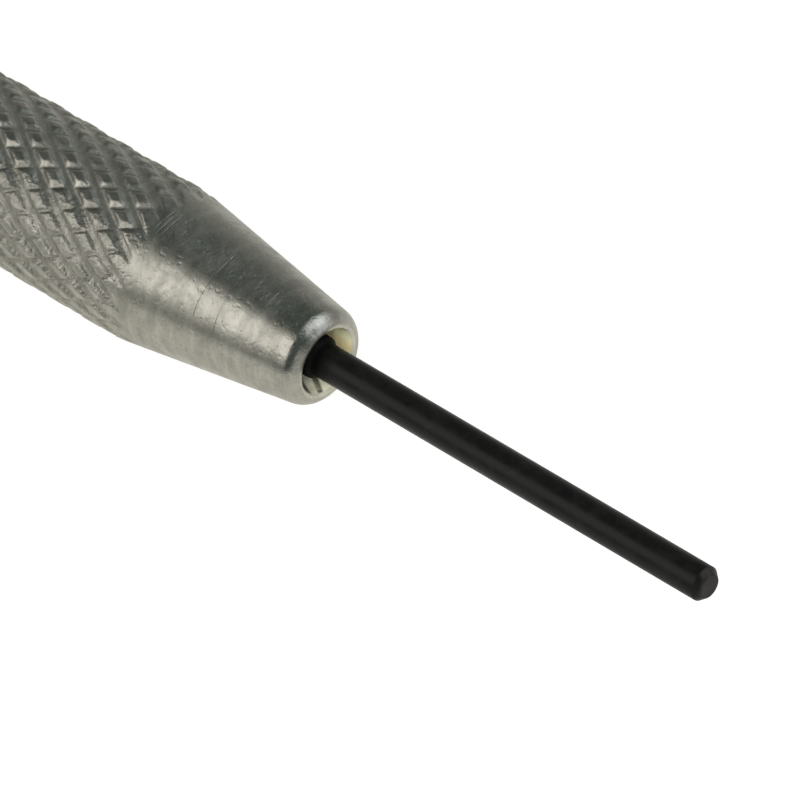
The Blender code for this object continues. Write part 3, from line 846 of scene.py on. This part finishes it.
def makeBlade():
    look = bladeLook
    soft = look["edgeRound"]
    headX = bladeLow.x + look["headLength"]
    fillet = []
    for step in range(look["filletSteps"] + 1):
        share = step / look["filletSteps"]
        fillet.append((mouthX - look["rootRecess"] + look["filletLength"] * (1 - share),
                       look["pin"] + (look["root"] - look["pin"]) * share * share * (3 - 2 * share)))
    profile = [(tipX, 0.0), (tipX, look["tipFlat"] * 0.5), (tipX, look["tipFlat"] - soft),
               (tipX - soft * 0.5, look["tipFlat"] + soft * 0.2),
               (tipX - look["chamfer"] + soft, look["pin"] - soft * 0.35),
               (tipX - look["chamfer"] - soft, look["pin"])]
    profile += spread(profile[-1], fillet[0], 24) + fillet
    profile += spread(fillet[-1], (headX, look["root"]), 16)
    profile += [(headX, look["root"]), (headX, look["head"] - soft), (headX - soft, look["head"]),
                (bladeLow.x + soft, look["head"]), (bladeLow.x, look["head"] - soft), (bladeLow.x, 0.0)]
    blade = piece("punchBlade", ringMesh("punchBlade", lambda angle: profile, 96, False), bladeOxide, 14.0)
    fit(blade, "striker", "punch_blade")


makeBlade()


# striker: stem and struck head

strikerLook = {
    "stem": 2.5 * mm,
    "stemChamfer": 0.4 * mm,
    "head": 5.0 * mm,
    "headLength": 12.0 * mm,
    "neckFillet": 1.2 * mm,
    "frontChamfer": 0.6 * mm,
    "rearRound": 1.4 * mm,
}


def makeStriker():
    look = strikerLook
    frontX, backX = strikerHigh.x, strikerLow.x
    headX = backX + look["headLength"]
    fillet, rearRound = look["neckFillet"], look["rearRound"]
    profile = [(frontX, 0.0), (frontX, look["stem"] - look["stemChamfer"]),
               (frontX - look["stemChamfer"], look["stem"])]
    neck = arcPoints(headX + fillet, look["stem"] + fillet, fillet, 180.0, 270.0, 10)
    profile += spread(profile[-1], neck[0], 20) + neck
    profile += [(headX, look["head"] - look["frontChamfer"]), (headX - look["frontChamfer"], look["head"])]
    shoulder = arcPoints(backX + rearRound, look["head"] - rearRound, rearRound, 0.0, -90.0, 12)
    profile += spread(profile[-1], shoulder[0], 10) + shoulder
    profile += spread(shoulder[-1], (backX, 0.0), 6) + [(backX, 0.0)]
    striker = piece("strikerBody", ringMesh("strikerBody", lambda angle: profile, 96, False), strikerOxide)
    fit(striker, "striker", "striker")


makeStriker()


# gland nut: hexagon with a chamfered back, turned spigot and guide bore

glandLook = {
    "spigot": 4.5 * mm,
    "relief": 0.3 * mm,
    "hexLength": 5.5 * mm,
    "hexBreak": 0.12 * mm,
    "guide": 2.6 * mm,
    "faceInset": 0.3 * mm,
    "chamferAngle": math.radians(30.0),
    "cornerRound": 0.25 * mm,
}


def makeGland():
    look = glandLook
    flat = crestRadius
    frontX, backX = glandHigh.x, glandLow.x
    hexX = backX + look["hexLength"]
    face = flat - look["faceInset"]
    corner = flat / math.cos(math.pi / 6) - look["cornerRound"] * (1 / math.cos(math.pi / 6) - 1)

    def profileAt(angle):
        # one flat faces down, so flats sit at 30 degrees past every 60
        off = (angle + math.pi / 2 + math.pi / 6) % (math.pi / 3) - math.pi / 6
        reach = min(flat / math.cos(off), corner)
        fall = (reach - face) * math.tan(look["chamferAngle"])
        points = [(frontX, look["spigot"] - look["relief"]), (frontX - look["relief"], look["spigot"]),
                  (hexX, look["spigot"]), (hexX, reach - look["hexBreak"]), (hexX - look["hexBreak"], reach)]
        points += spread(points[-1], (backX + fall, reach), 4)
        points += [(backX + fall, reach), (backX, face), (backX, look["guide"] + look["relief"]),
                   (backX + look["relief"], look["guide"]), (frontX, look["guide"])]
        return points

    gland = piece("glandNut", ringMesh("glandNut", profileAt, 192, True), zincPlain, 20.0)
    fit(gland, "sheath", "gland_nut")


makeGland()


# return spring: wire wound along a rule, closer turns at both ends

springLook = {
    "wire": 0.7 * mm,
    "turns": 12.0,
    "endGap": 0.5 * mm,
    "pointsPerTurn": 40,
    "wireSides": 14,
    "sharp": 50.0,
}


def makeWoundSpring(values):
    tree, give, result = newGeometryTree("woundSpring", values)
    line = wired(tree, "GeometryNodeCurvePrimitiveLine", {"End": (1.0, 0.0, 0.0)})
    points = wired(tree, "GeometryNodeResampleCurve", {"Curve": line, "Count": give["Points"]}, mode="COUNT")
    turn = split(wired(tree, "GeometryNodeInputPosition"))[0] * give["Turns"]
    ends = calc("MINIMUM", turn, 1.0) + calc("MAXIMUM", turn - give["Turns"] + 1.0, 0.0)
    endPitch = give["Wire"] + give["End Gap"]
    length = give["Front X"] - give["Rear X"] - give["Wire"]
    pitch = (length - endPitch * 2.0) / (give["Turns"] - 2.0)
    drop = endPitch * ends + pitch * (turn - ends)
    angle = turn * math.tau
    wound = join(give["Front X"] - give["Wire"] * 0.5 - drop,
                 calc("SINE", angle) * give["Coil Radius"],
                 calc("COSINE", angle) * give["Coil Radius"] + give["Axis Height"])
    coil = wired(tree, "GeometryNodeSetPosition", {"Geometry": points, "Position": wound})
    inputs = {"Resolution": give["Sides"], "Radius": give["Wire"] * 0.5}
    section = wired(tree, "GeometryNodeCurvePrimitiveCircle", inputs)
    inputs = {"Curve": coil, "Profile Curve": section, "Fill Caps": True}
    feed(result["Geometry"], finished(wired(tree, "GeometryNodeCurveToMesh", inputs), give["Finish"]))
    return tree


def makeSpring():
    look = springLook
    coil = (springHigh.y - springLow.y) / 2 - look["wire"] / 2
    spring = piece("returnSpring", bpy.data.meshes.new("returnSpring"), None)
    bakeNodes(spring, makeWoundSpring, {
        "Front X": springHigh.x, "Rear X": springLow.x, "Axis Height": axisHeight, "Coil Radius": coil,
        "Wire": look["wire"], "Turns": look["turns"], "End Gap": look["endGap"],
        "Points": int(look["turns"] * look["pointsPerTurn"]) + 1, "Sides": look["wireSides"],
        "Finish": drawnWire}, look["sharp"])
    fit(spring, "sheath", "return_spring")
    stroke = next(joint for joint in frame["joints"] if joint["name"] == "striker_stroke")["range_m"][1]
    keep = 1 - stroke / (springHigh.x - springLow.x)
    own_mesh(spring)


makeSpring()

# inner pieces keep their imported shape
innerFinishes = {
    "guide_bush": bushBrass,
    "thrust_washer": turnedSteel,
    "blade_holder": turnedSteel,
    "lock_nut": turnedSteel,
    "buffer_ring": bufferSkin,
}
for node, material in innerFinishes.items():
    mesh = frame["nodes"][node].data
    mesh.materials.clear()
    mesh.materials.append(material)
print("inner pieces finished")


# stage, light and camera

stageLook = {
    "white": (1.0, 1.0, 1.0, 1.0),
    "floorRadius": 1.6,
    "floorSides": 96,
    "floorColour": (0.42, 0.417, 0.407, 1.0),
    "floorSeen": 0.75,       # white that camera rays add to the lit floor
    "floorMirrored": 0.30,   # the same for mirrored and refracted rays
    "floorWarm": (1.0, 0.975, 0.88, 1.0),
    # where mirrored rays see how much of it, first along Y and then along X; this is painted light, a pool
    # round the tool that is brightest under it, with painted shade towards +Y, on the -Y side by the nose
    # and past the mouth
    "floorReach": (110.0 * mm, 20.0 * mm),
    "floorLee": (5.0 * mm, 22.0 * mm, 1.0, 0.3),
    "floorUnder": (9.0 * mm, 4.0 * mm, 0.0, 0.30),
    "floorUnderNear": (-1.0 * mm, 1.5 * mm),
    "floorFront": (-5.0 * mm, -14.0 * mm, 0.0, 0.35),
    "floorFrontX": (mouthX - 8.0 * mm, mouthX + 1.0 * mm),
    "floorPastMouth": (mouthX + 10.0 * mm, mouthX + 25.0 * mm, 1.0, 0.25),
    "overhead": (0.084, 0.100, 0.093, 1.0),
    # the walls are set out along the sides of a unit ball
    "wallBehind": (0.33, 0.33, 0.32, 1.0),
    "behindY": (-0.1, 0.3),
    "behindZ": (0.72, 0.0),
    "wallAhead": (0.82, 0.865, 0.91, 1.0),
    "aheadX": (0.42, 0.76, 0.88, 0.96),
    "aheadFarY": (-0.15, 0.22),
    "aheadFarZ": (0.75, 0.25),
    "aheadNearZ": (0.5, 0.0, 0.0, 0.5),    # dimmer on the side of the large softbox
    # degrees from the top towards -Y, and degrees towards +X
    "sideSpill": (0.60, 0.59, 0.57, 1.0),
    "spillAngles": (6.0, 28.0, 72.0, 90.0),
    "spillLean": (-75.0, -50.0, -8.0, 4.0),
    "glows": (
        {"colour": (0.44, 0.435, 0.42, 1.0), "angle": 61.0, "lean": 66.0, "across": (38.0, 16.0),
         "along": (32.0, 16.0)},
        {"colour": (1.22, 1.30, 1.35, 1.0), "angle": -37.0, "lean": 20.0, "across": (47.0, 6.0),
         "along": (34.0, 10.0)},
    ),
}


def makeFloor():
    look = stageLook
    sides, reach = look["floorSides"], look["floorRadius"]
    turns = [math.tau * step / sides for step in range(sides)]
    mesh = bpy.data.meshes.new("floor")
    mesh.from_pydata([(reach * math.cos(turn), reach * math.sin(turn), 0.0) for turn in turns], [],
                     [list(range(sides))])
    floor = bpy.data.objects.new("floor", mesh)
    scene.collection.objects.link(floor)
    material = bpy.data.materials.new("paleFloor")
    material.use_nodes = True
    tree = material.node_tree
    tree.nodes.remove(tree.nodes["Principled BSDF"])
    rays = byName(put(tree, "ShaderNodeLightPath").outputs)
    seen = rays["Is Camera Ray"]
    mirrored = calc("MAXIMUM", rays["Is Glossy Ray"], rays["Is Transmission Ray"])
    x, y = split(wired(tree, "ShaderNodeTexCoord", (), "Object"))[:2]
    # painted light and shade that only mirrored rays see: a warm glow that fades away from the tool,
    # brighter under it, darker on the -Y side by the nose, towards +Y and past the mouth
    front = ramp(x, *look["floorFrontX"]) * ramp(y, *look["floorFront"])
    under = ramp(y, *look["floorUnder"]) * ramp(y, *look["floorUnderNear"])
    level = ramp(abs(y), *look["floorReach"]) * (ramp(y, *look["floorLee"]) - front)
    level = (level * look["floorMirrored"] + under) * ramp(x, *look["floorPastMouth"])
    lit = wired(tree, "ShaderNodeBsdfDiffuse", {"Color": look["floorColour"]})
    glow = wired(tree, "ShaderNodeEmission", {
        "Color": mixColour(seen, look["floorWarm"], look["white"]),
        "Strength": mirrored * level + seen * look["floorSeen"]})
    both = wired(tree, "ShaderNodeAddShader", {0: lit, 1: glow})
    feed(tree.nodes["Material Output"].inputs["Surface"], both)
    mesh.materials.append(material)


def makeWorld():
    # dim ceiling, paler low walls behind the tool and ahead of it, spill round the side box, two soft glows
    look = stageLook
    world = bpy.data.worlds.new("studio")
    scene.world = world
    world.use_nodes = True
    tree = world.node_tree
    x, y, z = split(wired(tree, "ShaderNodeTexCoord", (), "Generated"))
    angle = angleFromTop(y, z)
    lean = calc("ARCSINE", x) * perRadian
    behind = ramp(z, *look["behindZ"]) * ramp(y, *look["behindY"])
    colour = mixColour(behind, look["overhead"], look["wallBehind"])
    far = ramp(y, *look["aheadFarY"]) * ramp(z, *look["aheadFarZ"])
    ahead = window(x, *look["aheadX"]) * calc("MAXIMUM", far, ramp(z, *look["aheadNearZ"]))
    colour = mixColour(ahead, colour, look["wallAhead"])
    spill = window(angle, *look["spillAngles"]) * window(lean, *look["spillLean"])
    colour = mixColour(spill, colour, look["sideSpill"])
    for glow in look["glows"]:
        across = ramp(abs(angle - glow["angle"]), *glow["across"])
        along = ramp(abs(lean - glow["lean"]), *glow["along"])
        colour = mixColour(across * along, colour, glow["colour"])
    seen = wired(tree, "ShaderNodeLightPath", (), "Is Camera Ray")
    feed(tree.nodes["Background"].inputs["Color"], mixColour(seen, colour, look["white"]))


def standAt(made, right, up, back, spot):
    # the object looks along -back
    made.matrix_world = Matrix((
        (right.x, up.x, back.x, spot.x), (right.y, up.y, back.y, spot.y), (right.z, up.z, back.z, spot.z),
        (0.0, 0.0, 0.0, 1.0)))
    scene.collection.objects.link(made)


softboxes = {
    "sideBox": {"way": (-0.4067, -0.6289, 0.6627), "size": (0.534, 0.425), "away": 0.6, "glow": 0.74,
                "colour": (1.0, 0.985, 0.95), "mirrored": True},
    "boreFill": {"way": (0.50, -0.42, 0.757), "size": (0.40, 0.40), "away": 0.6, "glow": 7.4,
                 "colour": (1.0, 0.99, 0.96), "mirrored": False},
}


def makeSoftboxes():
    aim = Vector((mouthX - 8 * mm, 0.0, axisHeight))
    for name, look in softboxes.items():
        way = Vector(look["way"]).normalized()
        light = bpy.data.lights.new(name, "AREA")
        light.shape = "RECTANGLE"
        light.size, light.size_y = look["size"]
        light.color = look["colour"]
        light.energy = look["glow"] * math.pi * light.size * light.size_y
        lamp = bpy.data.objects.new(name, light)
        lamp.visible_camera = False
        lamp.visible_glossy = look["mirrored"]
        side = (Vector((1.0, 0.0, 0.0)) - way * way.x).normalized()    # long side runs with the tool
        standAt(lamp, side, way.cross(side), way, aim + way * look["away"])


cameraLook = {
    "azimuth": math.radians(43.5),      # of the view before the picture is turned about the tool
    "elevation": math.radians(38.7),
    "roll": math.radians(16.0),         # turn about the tool's own axis
    "distance": 0.670,
    "lens": 452.0,
    "sensor": 36.0,
    "aimBack": 34.0 * mm,               # from the pin's tip
    "shiftRight": 4.608 * mm,
    "shiftUp": -2.416 * mm,
    "lean": math.radians(-0.20),        # turn about the line of sight
}


def makeCamera():
    look = cameraLook
    azimuth, elevation = look["azimuth"], look["elevation"]
    turn = Matrix.Rotation(-look["roll"], 3, "X")
    level = math.cos(elevation)
    back = turn @ Vector((math.sin(azimuth) * level, -math.cos(azimuth) * level, math.sin(elevation)))
    right = turn @ Vector((math.cos(azimuth), math.sin(azimuth), 0.0))
    right = Matrix.Rotation(look["lean"], 3, back) @ right
    up = back.cross(right)
    aim = Vector((tipX - look["aimBack"], 0.0, axisHeight))
    aim += right * look["shiftRight"] + up * look["shiftUp"]
    data = bpy.data.cameras.new("photoView")
    data.lens = look["lens"]
    data.sensor_width = look["sensor"]
    camera = bpy.data.objects.new("photoView", data)
    standAt(camera, right, up, back, aim + back * look["distance"])
    scene.camera = camera


makeFloor()
makeWorld()
makeSoftboxes()
makeCamera()
print("stage, light and camera set")
